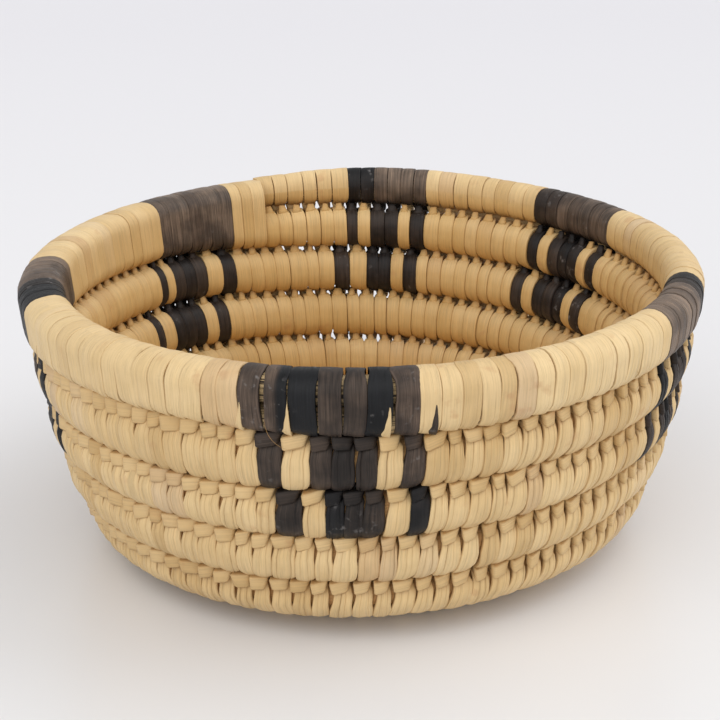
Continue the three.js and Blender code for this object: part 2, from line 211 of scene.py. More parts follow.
# how a strip lies on a row, by share of the loop: 0 top, 0.25 outside, 0.5 underneath, 0.75 inside;
# left and right are its edges in stitch widths, so it hangs from a neck, swells to the right and draws in to the left
rowStrip = {
    **anyStrip,
    "left": [(0, -.36), (.05, -.35), (.09, -.365), (.12, -.40), (.15, -.44), (.18, -.475), (.22, -.50), (.28, -.53),
             (.34, -.57), (.40, -.60), (.45, -.56), (.5, -.48), (.55, -.45), (.60, -.49), (.64, -.505), (.87, -.505),
             (.92, -.45), (.96, -.34), (1, -.36)],
    "right": [(0, .42), (.05, .50), (.09, .59), (.12, .56), (.15, .53), (.18, .525), (.22, .54), (.28, .54),
              (.34, .48), (.40, .35), (.45, .18), (.5, .26), (.55, .42), (.60, .48), (.64, .505), (.87, .505),
              (.92, .46), (.96, .36), (1, .42)],
    "slant": [(0, 0), (.15, 0), (.44, -1), (.5, -.8), (.62, 0), (1, 0)],
    "crown": [(0, .0003), (.10, .0005), (.17, .0006), (.3, .00045), (.43, .0006), (.5, .0004), (.6, .0004),
              (.85, .0005), (1, .0003)],
    "pleat": [(0, .0004), (.10, .00060), (.20, .00048), (.34, .00034), (.46, .00034), (.54, .00012), (.64, .00003),
              (.90, .00003), (1, .0004)],
    # painted shade: the shade keys darken the crevices between the rows and under the knots; the warmer-tint keys below
    # paint bounce light and shade with staining, most of all low inside
    "shade": [(0, .6), (.06, .4), (.12, .06), (.2, 0), (.40, 0), (.46, .2), (.5, .6), (.55, .4), (.60, .08),
              (.90, .04), (.96, .3), (1, .6)],
    "bounceAndStain": [(0, .4), (.12, .25), (.2, .08), (.38, .08), (.5, .7), (.58, 1), (.74, .8), (.88, .5), (1, .4)],
    "lift": [(0, 0), (.34, 0), (.43, .0007), (.48, .0005), (.54, .0001), (.6, 0), (1, 0)],
    "corner": .0070, "crest": .0006, "sink": .0016, "loop": loopTable(6, 2),
    "level": .00010, "tilt": .00010, "lap": -.00016, "slope": 0,  # how unevenly the strips lie, in metres
    "folds": 2, "calm": (.1, 1.0), "wander": .07, "gather": .10, "seam": .96,
}
floorStrip = dict(rowStrip, folds=1)
motifStrip = dict(rowStrip, gather=.04)  # drawn in less, so that the stripes stay whole
# the rim's strips lie flat and close, and only draw together under it
rimStrip = {
    **anyStrip,
    "left": [(0, -.503), (.20, -.503), (.32, -.53), (.40, -.58), (.46, -.60), (.5, -.50), (.56, -.44), (.64, -.503),
             (1, -.503)],
    "right": [(0, .503), (.24, .503), (.32, .48), (.40, .38), (.46, .24), (.5, .30), (.56, .42), (.64, .503),
              (1, .503)],
    "slant": [(0, 0), (.2, 0), (.44, -1), (.5, -.8), (.62, 0), (1, 0)],
    "crown": [(0, .00012), (.3, .00012), (.46, .0003), (.56, .0002), (.7, .00012), (1, .00012)],
    "pleat": [(0, .00005), (.2, .00007), (.34, .00012), (.46, .00025), (.6, .0001), (.7, .00003), (1, .00005)],
    # painted shade under the rim, and a warmer tint of painted bounce light and staining on its underside and the foot
    # of its inner face
    "shade": [(0, 0), (.40, 0), (.46, .15), (.5, .7), (.57, .35), (.63, .05), (1, 0)],
    "bounceAndStain": [(0, 0), (.40, 0), (.5, .7), (.58, .95), (.7, .65), (.84, .28), (.93, .05), (1, 0)],
    "lift": [(0, 0), (1, 0)],
    "corner": .0068, "crest": .0003, "sink": .0014, "loop": loopTable(6, 5),
    "level": .00006, "tilt": .00007, "lap": -.00006, "slope": .0005,
    "folds": 2, "calm": (.5, 1.1), "wander": .06, "gather": 0, "seam": .90,
    "looseFrom": .5, "looseGap": 2, "looseSeam": .975,  # wrapped less closely past half a turn, with clearer seams from wider gaps and more painted seam shade
}
rimRise = {"turn": .935, "width": .06, "height": .0022}  # the rim's top is a little higher near its end
# ends of strips that come up through a seam on the rim's outside, narrow at the top and wider below
sliverStrip = {
    **rimStrip, "folds": 1, "level": 0, "lap": 0, "tilt": .0001, "wander": .02,
    "left": [(0, -.01), (.20, -.015), (.25, -.06), (.32, -.16), (.40, -.34), (.46, -.44), (.52, -.1), (.56, -.01),
             (1, -.01)],
    "right": [(0, .01), (.20, .015), (.25, .05), (.32, .07), (.40, .06), (.46, .04), (.52, .02), (.56, .01), (1, .01)],
    "lift": [(0, -.0012), (.16, -.0012), (.22, .0001), (.30, .0003), (.45, .0005), (.5, -.0006), (.6, -.0012),
             (1, -.0012)],
}
# how unlike one another knots and necks are, in metres or shares; both are longer where the row above lies higher
anyKnot = {"widest": 1.2, "widthRange": (.86, 1.08), "dropRange": (.86, 1.14), "stray": .0003, "outStray": .0002,
           "skew": .08, "tallBy": 60, "tip": .02, "tipShade": .5}
# knots hang under a row, on the outside: wide at the top, drawn in to the left below, the left end over the next
knot = {
    **anyKnot,
    "topHalf": .57, "footHalf": .41, "shift": -.07, "rise": .0013, "drop": .0027, "topOut": .0037, "footOut": .0050,
    "yaw": .36, "depth": .0018, "sides": 8, "blunt": .35, "rings": [(0, .86), (.10, 1), (.88, 1), (1, .88)],
    "shade": .12, "bounceAndStain": .25,
}
floorKnot = dict(knot, topOut=.0020, footOut=.0028)  # flatter under the floor, where the basket stands
# inside, each strip draws in to a neck that goes up under the row above
neck = {
    **anyKnot,
    "topHalf": .24, "footHalf": .44, "shift": 0, "rise": .0014, "drop": .0031, "topOut": -.0026, "footOut": -.0037,
    "yaw": 0, "depth": .0010, "sides": 6, "blunt": .9, "rings": [(0, .9), (.5, 1), (.9, 1)],
    # painted shade and bounce light: the neck is darker and warmer, deep in the seam between the rows
    "shade": .28, "bounceAndStain": .85,
}

# dark motifs: angle past the step and width in degrees, on the rim and on the two rows; dark stitches at the core,
# tones along the rim, and widths of the stitches where they are uneven
motifs = [
    {"angle": [19.2, 20.4, 24.2], "width": [19.1, 21.2, 22.0], "core": 3, "tones": [1, 1, .96, .9, 1, .96, .94],
     "columns": [[1] * 7, [1.2, 1.36, 1, 1, 1, .77, .66], [1.05, 1.02, 1, 1, 1, 1.17, .73]]},
    {"angle": [78.8, 84, 85.5], "width": [23.4, 17.6, 17.6], "core": 3, "tones": [.96, .94, .97, .9, .34, .2, .26]},
    {"angle": [155.3, 156.8, 158.3], "width": [26.5, 25.6, 24.7], "core": 3,
     "columns": [[1, 1, 1.1, 1, .95, 1, 1], [1.06, 1.16, .92, .95, .91, 1.06, .94],
                 [1.26, 1.05, .86, .86, .98, 1.1, .9]],
     "tones": [.72, (.78, .14), .12, .62, (.5, .6), .10, .75],
     "trims": [(.02, .15), (.05, .09), (.05, .02), (.02, .02), (.03, .01), (.02, .03), (.02, 0)]},
    {"angle": [227.2, 226.4, 225.6], "width": [21, 17.8, 17.8], "core": 3, "tones": [.97, .95, 1, .93, .95, .45, .3]},
    {"angle": [288, 288.3, 291], "width": [21.6, 20.5, 21.2], "core": 3, "tones": [.92, .86, .94, .78, .86, .66, .55]},
    {"angle": [333.4, 333.6, 336], "width": [17.2, 17.7, 19.5], "core": 2, "tones": [.95, 1, 1, .95, .2, .15],
     "columns": [[1] * 6, [1.12, .91, 1.07, 1.09, .98, .84], [.98, .91, .87, .88, 1.24, 1.11]]},
]
motifRowCount = 2
# motif number, stitches past its first edge on the rim, dark or not
slivers = [(3, .06, False), (3, 1.96, False), (3, 5.88, False), (3, 7.66, True), (5, 3.1, False), (1, 6.96, False)]


# edges of a motif's stitches on the rim or a row: the width shared out between the columns about the middle
def motifEdges(motif, row):
    middle, half = motif["angle"][row] / 360 - row, motif["width"][row] / 720
    columns = np.array(motif["columns"][row]) if "columns" in motif else np.ones(4 + motif["core"])
    return middle - half + 2 * half * np.append(0, np.cumsum(columns)) / columns.sum()


strips = []  # each has its start and end turn, piece, colour, row (0 is the rim), two tones, and trims at its sides


# one strip between each edge and the next; a single tone counts for both of its halves
def addStrips(edges, piece, dark, row, tones=None, trims=None):
    count = len(edges) - 1
    tones = dice.uniform(0, 1, count) if tones is None else tones
    tones = [tone if isinstance(tone, tuple) else (tone, tone) for tone in tones]
    trims = [(0, 0)] * count if trims is None else trims
    strips.extend({"from": a, "to": b, "piece": piece, "dark": dark, "row": row, "tone": tone, "trim": trim}
                  for a, b, tone, trim in zip(edges[:-1], edges[1:], tones, trims))


# plain stitches: how far an edge strays, how many come from one leaf, how its tone varies, and the lengths in turns
# of the fields on the plain rows and the floor; then the tones of the motifs' stitches on the rows
plainStitches = {"stray": .13, "perLeaf": 5, "toneSpread": .16, "rowField": 1 / 6, "floorField": 1 / 4}
motifRowTones = {"light": (.1, .8), "dark": (.18, .62)}


# a plain field: equal stitches with each inner edge moved a little
def plainField(start, end, piece, row, radius):
    count = max(1, round((end - start) * fullTurn * radius / coil["stitch"]))
    edges = np.linspace(start, end, count + 1)
    stray, perLeaf = plainStitches["stray"], plainStitches["perLeaf"]
    edges[1:-1] += dice.uniform(-stray, stray, count - 1) * (end - start) / count
    runs = np.repeat(dice.uniform(0, 1, count // perLeaf + 1), perLeaf)[:count]
    addStrips(edges, piece, False, row, list(np.clip(runs + dice.normal(0, plainStitches["toneSpread"], count), 0, 1)))


rimMiddle = coil["rimRadius"] - coil["rimWidth"] / 2
rimEdge = coil["stepTurn"]
for number, motif in enumerate(motifs, 1):
    edges = motifEdges(motif, 0)
    plainField(rimEdge, edges[0], "rim_wrapping", 0, rimMiddle)
    addStrips(edges, f"motif_{number}", True, 0, motif["tones"], motif.get("trims"))
    rimEdge = edges[-1]
plainField(rimEdge, 1 + coil["stepTurn"], "rim_wrapping", 0, rimMiddle)

lowest = motifEdges(motifs[0], motifRowCount)[0]
rowEdge = lowest
for row in range(motifRowCount, 0, -1):
    for number, motif in enumerate(motifs, 1):
        edges = motifEdges(motif, row)
        if edges[0] > rowEdge:
            plainField(rowEdge, edges[0], "patterned_rows", row, float(rowPlace(edges[0])[0]))
        for i, (a, b) in enumerate(zip(edges[:-1], edges[1:])):
            light = i in (1, len(edges) - 3)
            addStrips([a, b], f"motif_bars_{number}" if light else f"motif_{number}", not light, row,
                      [dice.uniform(*motifRowTones["light" if light else "dark"])])
        rowEdge = edges[-1]
plainField(rowEdge, coil["stepTurn"], "patterned_rows", 1, float(rowPlace(0)[0]))

turn = -coil["wallRows"]
while turn < lowest - 1e-6:  # plain rows of the wall
    end = min(turn + plainStitches["rowField"], lowest)
    plainField(turn, end, "plain_rows", 3, float(rowPlace(turn)[0]))
    turn = end
turn = -coil["wallRows"]
while turn > startTurn + 1e-6:  # floor rows, from the wall to the middle
    end = max(turn - plainStitches["floorField"], startTurn)
    plainField(end, turn, "floor_rows", 5, float(rowPlace(turn)[0]))
    turn = end
print("strips:", len(strips))


# puts several grids into one mesh, with a strip map in millimetres and an attribute for each kind of value
class MeshParts:
    def __init__(self):
        self.points, self.faces, self.maps, self.values, self.count = [], [], [], [], 0

    def add(self, points, quads, quadMap, values):
        self.points.append(points.reshape(-1, 3))
        self.faces.append(quads + self.count)
        self.maps.append(quadMap)
        self.values.append(values)
        self.count += points.reshape(-1, 3).shape[0]

    def build(self, name, material):
        points, faces = np.concatenate(self.points), np.concatenate(self.faces)
        mesh = bpy.data.meshes.new(name)
        mesh.vertices.add(len(points))
        mesh.vertices.foreach_set("co", points.astype(np.float32).ravel())
        mesh.loops.add(faces.size)
        mesh.loops.foreach_set("vertex_index", faces.astype(np.int32).ravel())
        mesh.polygons.add(len(faces))
        mesh.polygons.foreach_set("loop_start", np.arange(0, faces.size, 4, dtype=np.int32))
        mesh.polygons.foreach_set("use_smooth", np.ones(len(faces), bool))
        layer = mesh.uv_layers.new(name="strip")
        layer.data.foreach_set("uv", np.concatenate(self.maps).astype(np.float32).ravel())
        for label in self.values[0]:
            attribute = mesh.attributes.new(label, "FLOAT", "POINT")
            whole = np.concatenate([v[label].ravel() for v in self.values])
            attribute.data.foreach_set("value", whole.astype(np.float32))
        mesh.materials.append(material)
        mesh.update(calc_edges=True)
        mesh.validate()
        piece = bpy.data.objects.new(name, mesh)
        bpy.context.scene.collection.objects.link(piece)
        return piece


# quads of grids that close both ways, and the map at their corners: strip by strip, across by along
def bandQuads(stripCount, acrossCount, alongCount):
    s, j, u = np.meshgrid(np.arange(stripCount), np.arange(acrossCount), np.arange(alongCount), indexing="ij")
    corners = [(j, u), (j, u + 1), (j + 1, u + 1), (j + 1, u)]
    quads = np.stack([(s * acrossCount + a % acrossCount) * alongCount + b % alongCount for a, b in corners], -1)
    return quads.reshape(-1, 4), [(s, a, b) for a, b in corners]


# creases in shares of a strip's width: how far they stray, their lips, the bevel at the strip's edges;
# then in pleats: how rough the lips are, the crease's depth, which is seldom great, and how far the edges hang
fold = {"stray": .28, "lip": .035, "bevel": .05, "rough": .22, "shallow": .1, "deep": 1.9, "rare": 1.8, "hang": .3}


# across a strip: places of its edges and creases, and how far each stands up; folds lie between the creases
def foldedAcross(count, folds):
    room, lip = 1 / (folds + .5), fold["lip"]
    crease = (np.arange(folds) + .75) * room + dice.uniform(-fold["stray"], fold["stray"], (count, folds)) * room
    places = np.stack([crease - lip, crease, crease + lip], -1).reshape(count, -1)
    edge = np.array([0, fold["bevel"]])
    v = np.concatenate([np.tile(edge, (count, 1)), places, np.tile(1 - edge[::-1], (count, 1))], 1)
    ends = dice.normal(0, fold["rough"], (count, folds + 1, 2))
    depth = fold["shallow"] - fold["deep"] * dice.uniform(0, 1, (count, folds + 1, 1)) ** fold["rare"]
    height = np.concatenate([ends, depth], -1).reshape(count, -1)[:, :-1]
    height = np.concatenate([height[:, :1] - fold["hang"], height, height[:, -1:] - fold["hang"]], 1)
    creased = np.zeros(v.shape)
    creased[:, 3:-2:3] = 1
    return v, height, creased


# a strip: a flat band round the loop, crowned across, folded where it is gathered, its edges tucked under
def addBands(parts, group, style, onRim):
    t0, t1, tint, farTint, trimLeft, trimRight = np.array(
        [(g["from"], g["to"], *g["tone"], *g["trim"]) for g in group]).T
    count, loop = len(group), style["loop"]
    middle, width = (t0 + t1) / 2, t1 - t0
    if onRim:
        halfUp = (rimHeight(middle) - coil["rowGap"] / 2) / 2 - style["crest"]
        narrowed = rimNarrowed(middle)
    else:
        halfUp = rowHalfUp(middle) - style["crest"]
        narrowed = 0 * middle
    halfOut = (coil["rimWidth"] if onRim else coil["thickness"]) / 2 - narrowed / 2 - style["crest"]
    share, length = loopShare(loop, np.median(halfOut), np.median(halfUp), style["corner"])
    by = {key: keyed(share, style[key])[None, None, :]
          for key in ("left", "right", "slant", "crown", "pleat", "shade", "bounceAndStain", "lift")}
    v, height, creased = foldedAcross(count, style["folds"])
    top = v.shape[1]
    back = lambda grid: np.concatenate([grid, grid[:, -1:], grid[:, :1]], 1)[:, :, None]  # closed under the strip
    v, height, creased = back(v), back(height), back(creased)
    each = lambda values: values[:, None, None]
    # edges: those of the keys, moved by the trims, the draw of the ends and the slits, then leaned and swayed
    gap = np.clip(dice.lognormal(*style["gap"], count), *style["gapRange"])
    seam = dice.uniform(style["seam"], 1, count)
    if onRim:
        loose = middle > style["looseFrom"]
        gap = np.where(loose, style["looseGap"] * gap, gap)
        seam = np.where(loose, np.maximum(seam, style["looseSeam"]), seam)
    gap = each(gap)
    sway = each(dice.normal(0, style["sway"], count)) * np.sin(fullTurn * share + each(dice.uniform(0, 6, count)))
    lean = each(dice.normal(0, style["wander"], count)) * by["slant"] + sway
    fill = (v - .5) * (1 - gap) + .5
    apart = 1 - ease((share - .22) / .2) * ease((.66 - share) / .1)  # trims close again under the rim
    ends = np.clip(dice.normal(*style["drawn"], count), *style["drawnRange"])
    drawn = keyed(share, style["drawnAt"]) * each(ends)
    slit = keyed(share, style["slitAt"]) * each(dice.normal(0, style["slit"], count))
    gather = style["gather"] * dice.uniform(0, 1, count) ** style["rare"]
    pulled = keyed(share, style["gatherAt"]) * each(gather)
    left = by["left"] + each(trimLeft) * apart - drawn + slit + pulled
    right = by["right"] - each(trimRight) * apart + drawn - pulled
    turn = each(middle) + each(width) * (lean + left + (right - left) * fill)
    # height over the loop: a parabola across, folds, tilt and level; the underside is sunk
    tilt = (each(dice.normal(0, style["tilt"], count)) + style["lap"]) * (2 * v - 1)
    level = each(dice.normal(0, style["level"], count))
    folded = height * by["pleat"] * each(dice.uniform(*style["calm"], count))
    lifted = by["lift"] if onRim else by["lift"] * each(ease((middle + 3.2) / .3))  # ends lie flat on the lowest row
    raised = by["crown"] * (1 - (2 * v - 1) ** 2) + folded + tilt + level + lifted
    under = np.arange(v.shape[1])[None, :, None] >= top
    raised = np.where(under, -style["sink"], np.minimum(raised, style["crest"] * style["mostRaised"]))
    # the loop: the corner's centre by its signs, then the corner's radius and the height the way that it faces
    corner = np.minimum(style["corner"], np.minimum(halfOut, halfUp) * .96)[:, None, None]
    sx, sy, nx, ny = loop.T[:, None, None, :]
    out = each(narrowed / 2) + sx * (each(halfOut) - corner) + (corner + raised) * nx
    up = sy * (each(halfUp) - corner) + (corner + raised) * ny
    up = up - style["slope"] * (2 * v - 1) * keyed(share, style["slopeAt"])
    if onRim:
        depth = (rimHeight(turn) - coil["rowGap"] / 2) / 2
        up = up + climbOnRim(turn, depth - up)
        up = up + rimRise["height"] * np.exp(-((turn - rimRise["turn"]) / rimRise["width"]) ** 2) * (1 + ny) / 2
        place = wallPlace(depth)
    else:
        up = up + climbOnRow(turn, up)
        place = rowPlace(turn)
    points = besidePath(turn, place, out, up)
    points[..., 2] = np.maximum(points[..., 2], aboveTable)
    quads, corners = bandQuads(count, v.shape[1], len(loop))
    acrossMap = np.concatenate([v[:, :, 0], v[:, :1, 0] + 1.1], 1) * coil["stitch"] * 1000  # in millimetres
    alongMap = np.append(share, 1) * length * 1000
    maps = np.stack([np.stack([acrossMap[s, a] + 9.7 * s, alongMap[b] + 3.1 * s], -1) for s, a, b in corners], -2)
    whole = lambda values: np.broadcast_to(values, turn.shape)
    # painted shade: the crevice keys, and darker along each crease by its depth; towards the edges comes painted seam
    # shade, and the warmer tint is painted bounce light with staining
    deepest = max(depth for _, depth in style["pleat"])
    shade = np.maximum(whole(by["shade"]), creased * by["pleat"] / deepest * style["creaseShade"])
    parts.add(points, quads, maps.reshape(-1, 2), {
        "tint": whole(each(tint) + each(farTint - tint) * ease((v - .5) / style["toneBlend"])), "shade": shade,
        "edge": whole(np.abs(2 * v - 1) * each(seam)), "bounceAndStain": whole(by["bounceAndStain"])})
    return middle + width * (style["left"][0][1] + style["right"][0][1]) / 2, width * (1 - 2 * gather), tint


# a knot or neck: flat-fronted rings from under the row above down to the strip, each end closed on its axis
def addKnots(parts, shape, middle, width, tint):
    count, sides = len(middle), shape["sides"]
    around = (np.arange(sides) + .5) / sides * fullTurn
    squarish = lambda wave: np.sign(wave) * np.abs(wave) ** shape["blunt"]
    along, scale = np.array([(0, shape["tip"])] + shape["rings"] + [(1, shape["tip"])]).T
    along, scale = along[None, :, None], scale[None, :, None]
    each = lambda values: values[:, None, None]
    depth = rowDepth(middle) - halfPitch
    place = wallPlace(np.minimum(depth, pathLength - coil["startRadius"]))
    turnWidth = fullTurn * np.maximum(place[0], .004)
    stitch = np.minimum(width * turnWidth, coil["stitch"] * shape["widest"])
    stitch = each(stitch * dice.uniform(*shape["widthRange"], count))
    half = stitch * (shape["topHalf"] + (shape["footHalf"] - shape["topHalf"]) * along) * scale
    shifted = each(dice.normal(0, shape["stray"], count)) + stitch * shape["shift"]
    x = half * squarish(np.cos(around))[None, None, :] + shifted * along
    y = shape["depth"] * scale * squarish(np.sin(around))[None, None, :]
    out = shape["topOut"] + (shape["footOut"] - shape["topOut"]) * along
    out = out + each(dice.normal(0, shape["outStray"], count)) + y - shape["yaw"] * x
    drop = shape["drop"] * each(dice.uniform(*shape["dropRange"], count))
    lifted = climbAt(each(middle) + 1)
    tall = 1 + shape["tallBy"] * lifted
    up = lifted + (shape["rise"] - (shape["rise"] + drop) * along) * tall
    up = up + each(dice.normal(0, shape["skew"], count)) * x
    turn = each(middle) + x / each(turnWidth)
    points = besidePath(turn, [each(p) for p in place], out, up)
    points[..., 2] = np.maximum(points[..., 2], aboveTable)
    rings = along.shape[1]
    s, r, p = np.meshgrid(np.arange(count), np.arange(rings - 1), np.arange(sides), indexing="ij")
    corners = [(r, p), (r, p + 1), (r + 1, p + 1), (r + 1, p)]
    quads = np.stack([(s * rings + a) * sides + b % sides for a, b in corners], -1).reshape(-1, 4)
    # the wrap runs round the knot, so along goes with the side and across with the height
    acrossMap = (shape["rise"] + shape["drop"]) * 1000 * along[0, :, 0]
    maps = np.stack([np.stack([acrossMap[a] + 7.3 * s, b * 1.1 + 2.9 * s], -1) for a, b in corners], -2)
    whole = lambda values: np.broadcast_to(values, x.shape)
    # painted shade: darker towards both ends, where the knot tucks under the row above and turns in at its lip, with a
    # warmer tint of painted bounce light
    parts.add(points, quads, maps.reshape(-1, 2), {
        "tint": whole(each(tint)), "shade": whole(shape["shade"] + shape["tipShade"] * np.abs(2 * along - 1) ** 6),
        "edge": whole(np.abs(2 * along - 1) ** 3), "bounceAndStain": whole(shape["bounceAndStain"] + 0 * along)})


# quads of a tube: rings in order along it, each closed round; corners are ring and side numbers
def tubeQuads(rings, sides):
    i, u = np.meshgrid(np.arange(rings - 1), np.arange(sides), indexing="ij")
    corners = [(i, u), (i, u + 1), (i + 1, u + 1), (i + 1, u)]
    return np.stack([a * sides + b % sides for a, b in corners], -1).reshape(-1, 4), corners


# a map for such a tube, from what each ring and side has across and along
def tubeMap(corners, across, along):
    return np.stack([np.stack([across[b], along[a]], -1) for a, b in corners], -2).reshape(-1, 2)


curledStart = {"radius": .0050, "half": .0052, "sides": 16, "rings": 9}


# the start of the coil: a flattened ball, by its angles up and around, that fills the middle of the first turn
def addStart(parts, start):
    rings, sides, radius = start["rings"], start["sides"], start["radius"]
    up = np.linspace(-math.pi / 2, math.pi / 2, rings)[:, None]
    around = np.arange(sides)[None, :] / sides * fullTurn
    points = np.stack([radius * np.cos(up) * np.cos(around), radius * np.cos(up) * np.sin(around),
                       rowHalf + start["half"] * np.sin(up) + 0 * around], -1)
    quads, corners = tubeQuads(rings, sides)
    maps = tubeMap(corners, np.arange(sides + 1) * 1.6, np.arange(rings)[::-1] * 1.4)
    plain = np.zeros(points.shape[:2])
    parts.add(points, quads, maps, {"tint": plain + .4, "shade": plain + .3, "edge": plain, "bounceAndStain": plain + .7})


# a new material, with its tree and its shader
def newMaterial(name):
    material = bpy.data.materials.new(name)
    material.use_nodes = True
    return material, material.node_tree, material.node_tree.nodes["Principled BSDF"]


# a shader node: sockets given as inputs are linked, other inputs are set
def node(tree, kind, inputs=None, **settings):
    made = tree.nodes.new(kind)
    for key, value in settings.items():
        setattr(made, key, value)
    for key, value in (inputs or {}).items():
        if isinstance(value, bpy.types.NodeSocket):
            tree.links.new(value, made.inputs[key])
        else:
            made.inputs[key].default_value = value
    return made


# a colour ramp through stops of place and colour
def ramp(tree, factor, stops):
    made = node(tree, "ShaderNodeValToRGB", {"Fac": factor})
    while len(made.color_ramp.elements) < len(stops):
        made.color_ramp.elements.new(.5)
    for element, (at, colour) in zip(made.color_ramp.elements, stops):
        element.position = at
        element.color = (*colour, 1) if len(colour) == 3 else colour
    return made.outputs["Color"]


# two colours blended by a factor
def mixed(tree, blend, factor, a, b):
    made = node(tree, "ShaderNodeMix", data_type="RGBA", blend_type=blend)
    for socket, value in ((made.inputs[0], factor), (made.inputs[6], a), (made.inputs[7], b)):
        if isinstance(value, bpy.types.NodeSocket):
            tree.links.new(value, socket)
        else:
            socket.default_value = value
    return made.outputs[2]


# a colour with three equal parts
def grey(value):
    return (value, value, value)


# noise stretched along the strip: many changes across, few along
def fibre(tree, uv, acrossScale, alongScale, detail):
    stretch = node(tree, "ShaderNodeMapping", {"Vector": uv, "Scale": (acrossScale, alongScale, 1)})
    return node(tree, "ShaderNodeTexNoise", {"Vector": stretch.outputs[0], "Scale": 1, "Detail": detail,
                                            "Roughness": .6}).outputs["Fac"]


# noise on the object's own coordinates
def spots(tree, place, scale, detail):
    return node(tree, "ShaderNodeTexNoise", {"Vector": place, "Scale": scale, "Detail": detail}).outputs["Fac"]


# the warmer colour stands for painted bounce light and shade with staining, the crevice colour for painted shade; the
# rest is the leaf's own colour and wear
leafLooks = {
    "natural_leaf": {
        "tones": [(0, (.59, .410, .196)), (.10, (.665, .480, .246)), (.5, (.70, .514, .270)), (.86, (.735, .552, .300)),
                  (.93, (.645, .480, .290)), (1, (.61, .425, .225))],
        "streak": [(.30, grey(.87)), (.5, grey(.99)), (.68, grey(1.05))],
        "hair": [(.33, grey(.74)), (.45, grey(1)), (.66, grey(1.05))],
        "patch": [(.35, (.96, .94, .90)), (.65, (1.03, 1.03, 1.04))],
        "bounceAndStainColour": (.585, .350, .108), "bounceAndStainShare": .85,
        "creviceShade": (.37, .192, .062), "creviceShadeShare": .75, "rough": .55, "bump": .30, "gloss": .35,
        "scuff": (.42, .17, .07), "scuffShare": .30, "scuffScale": 160,
    },
    "dark_leaf": {
        "tones": [(0, (.005, .0055, .0065)), (.25, (.009, .009, .010)), (.45, (.036, .026, .020)),
                  (.75, (.080, .055, .040)), (.9, (.135, .094, .067)), (1, (.180, .130, .094))],
        "streak": [(.30, grey(.52)), (.5, grey(.97)), (.70, grey(1.5))],
        "hair": [(.32, grey(.56)), (.48, grey(1)), (.68, grey(1.5))],
        "patch": [(.38, (.54, .55, .58)), (.58, grey(1.10))],
        "bounceAndStainColour": (.034, .022, .016), "bounceAndStainShare": .5,
        "creviceShade": (.005, .004, .004), "creviceShadeShare": .75, "rough": .46, "bump": .34, "gloss": .22,
        "scuff": (.30, .28, .27), "scuffShare": .45, "scuffScale": 420,
    },
}

# fibre as changes per millimetre across and along, and detail; patches and specks on the object, in changes per metre
leafGrain = {
    "streak": (1.5, .035, 3), "hair": (5.5, .10, 4), "hairShare": .8, "patchScale": 95, "rubbedScale": 40,
    # the edge entries set where the painted seam shade starts across a strip and how strong it is
    "speck": (.60, .72), "rubbed": (.52, .62), "seamShadeFrom": .93, "seamShadeShare": .5, "wear": (-.10, .14),
    "bumpDepth": .0004,
}


# leaf: a tone per strip, long fibre streaks and hairs, slow patches, warmer inside from painted bounce light and
# staining, brown painted shade in folds, crevices and at edges
def leafMaterial(name):
    look = leafLooks[name]
    material, tree, shader = newMaterial(name)
    uv = node(tree, "ShaderNodeUVMap", uv_map="strip").outputs[0]
    given = {label: node(tree, "ShaderNodeAttribute", attribute_name=label).outputs["Fac"]
             for label in ("tint", "shade", "edge", "bounceAndStain")}
    streak = fibre(tree, uv, *leafGrain["streak"])
    hair = fibre(tree, uv, *leafGrain["hair"])
    place = node(tree, "ShaderNodeTexCoord").outputs["Object"]
    patch = spots(tree, place, leafGrain["patchScale"], 3)
    colour = ramp(tree, given["tint"], look["tones"])
    # painted bounce light and shade, with staining: a warmer, darker tint where the strips' warmer-tint values are
    # high, most of all low inside
    inside = ramp(tree, given["bounceAndStain"], [(0, grey(0)), (1, grey(look["bounceAndStainShare"]))])
    colour = mixed(tree, "MIX", inside, colour, (*look["bounceAndStainColour"], 1))
    colour = mixed(tree, "MULTIPLY", 1, colour, ramp(tree, streak, look["streak"]))
    colour = mixed(tree, "MULTIPLY", leafGrain["hairShare"], colour, ramp(tree, hair, look["hair"]))
    colour = mixed(tree, "MULTIPLY", 1, colour, ramp(tree, patch, look["patch"]))
    # rubbed specks on the dark leaf, small stains on the natural one
    rubbed = spots(tree, place, look["scuffScale"], 4)
    area = spots(tree, place, leafGrain["rubbedScale"], 2)
    speckFrom, speckTo = leafGrain["speck"]
    areaFrom, areaTo = leafGrain["rubbed"]
    speck = mixed(tree, "MULTIPLY", 1, ramp(tree, rubbed, [(speckFrom, grey(0)), (speckTo, grey(look["scuffShare"]))]),
                  ramp(tree, area, [(areaFrom, grey(0)), (areaTo, grey(1))]))
    colour = mixed(tree, "MIX", speck, colour, (*look["scuff"], 1))
    # painted shade: the crevice colour towards the strips' edges at the seams, then in crevices and creases
    edge = ramp(tree, given["edge"], [(leafGrain["seamShadeFrom"], grey(0)), (1, grey(leafGrain["seamShadeShare"]))])
    deep = ramp(tree, given["shade"], [(.1, grey(0)), (1, grey(look["creviceShadeShare"]))])
    colour = mixed(tree, "MIX", edge, colour, (*look["creviceShade"], 1))
    colour = mixed(tree, "MIX", deep, colour, (*look["creviceShade"], 1))
    tree.links.new(colour, shader.inputs["Base Color"])
    smoother, rougher = leafGrain["wear"]
    worn = node(tree, "ShaderNodeMapRange", {"Value": streak, "From Min": .3, "From Max": .7,
                                            "To Min": look["rough"] + smoother, "To Max": look["rough"] + rougher})
    tree.links.new(worn.outputs[0], shader.inputs["Roughness"])
    height = node(tree, "ShaderNodeMath", {0: streak, 1: hair}, operation="ADD").outputs[0]
    bump = node(tree, "ShaderNodeBump", {"Height": height, "Strength": look["bump"],
                                         "Distance": leafGrain["bumpDepth"]})
    tree.links.new(bump.outputs[0], shader.inputs["Normal"])
    shader.inputs["Specular IOR Level"].default_value = look["gloss"]
    return material


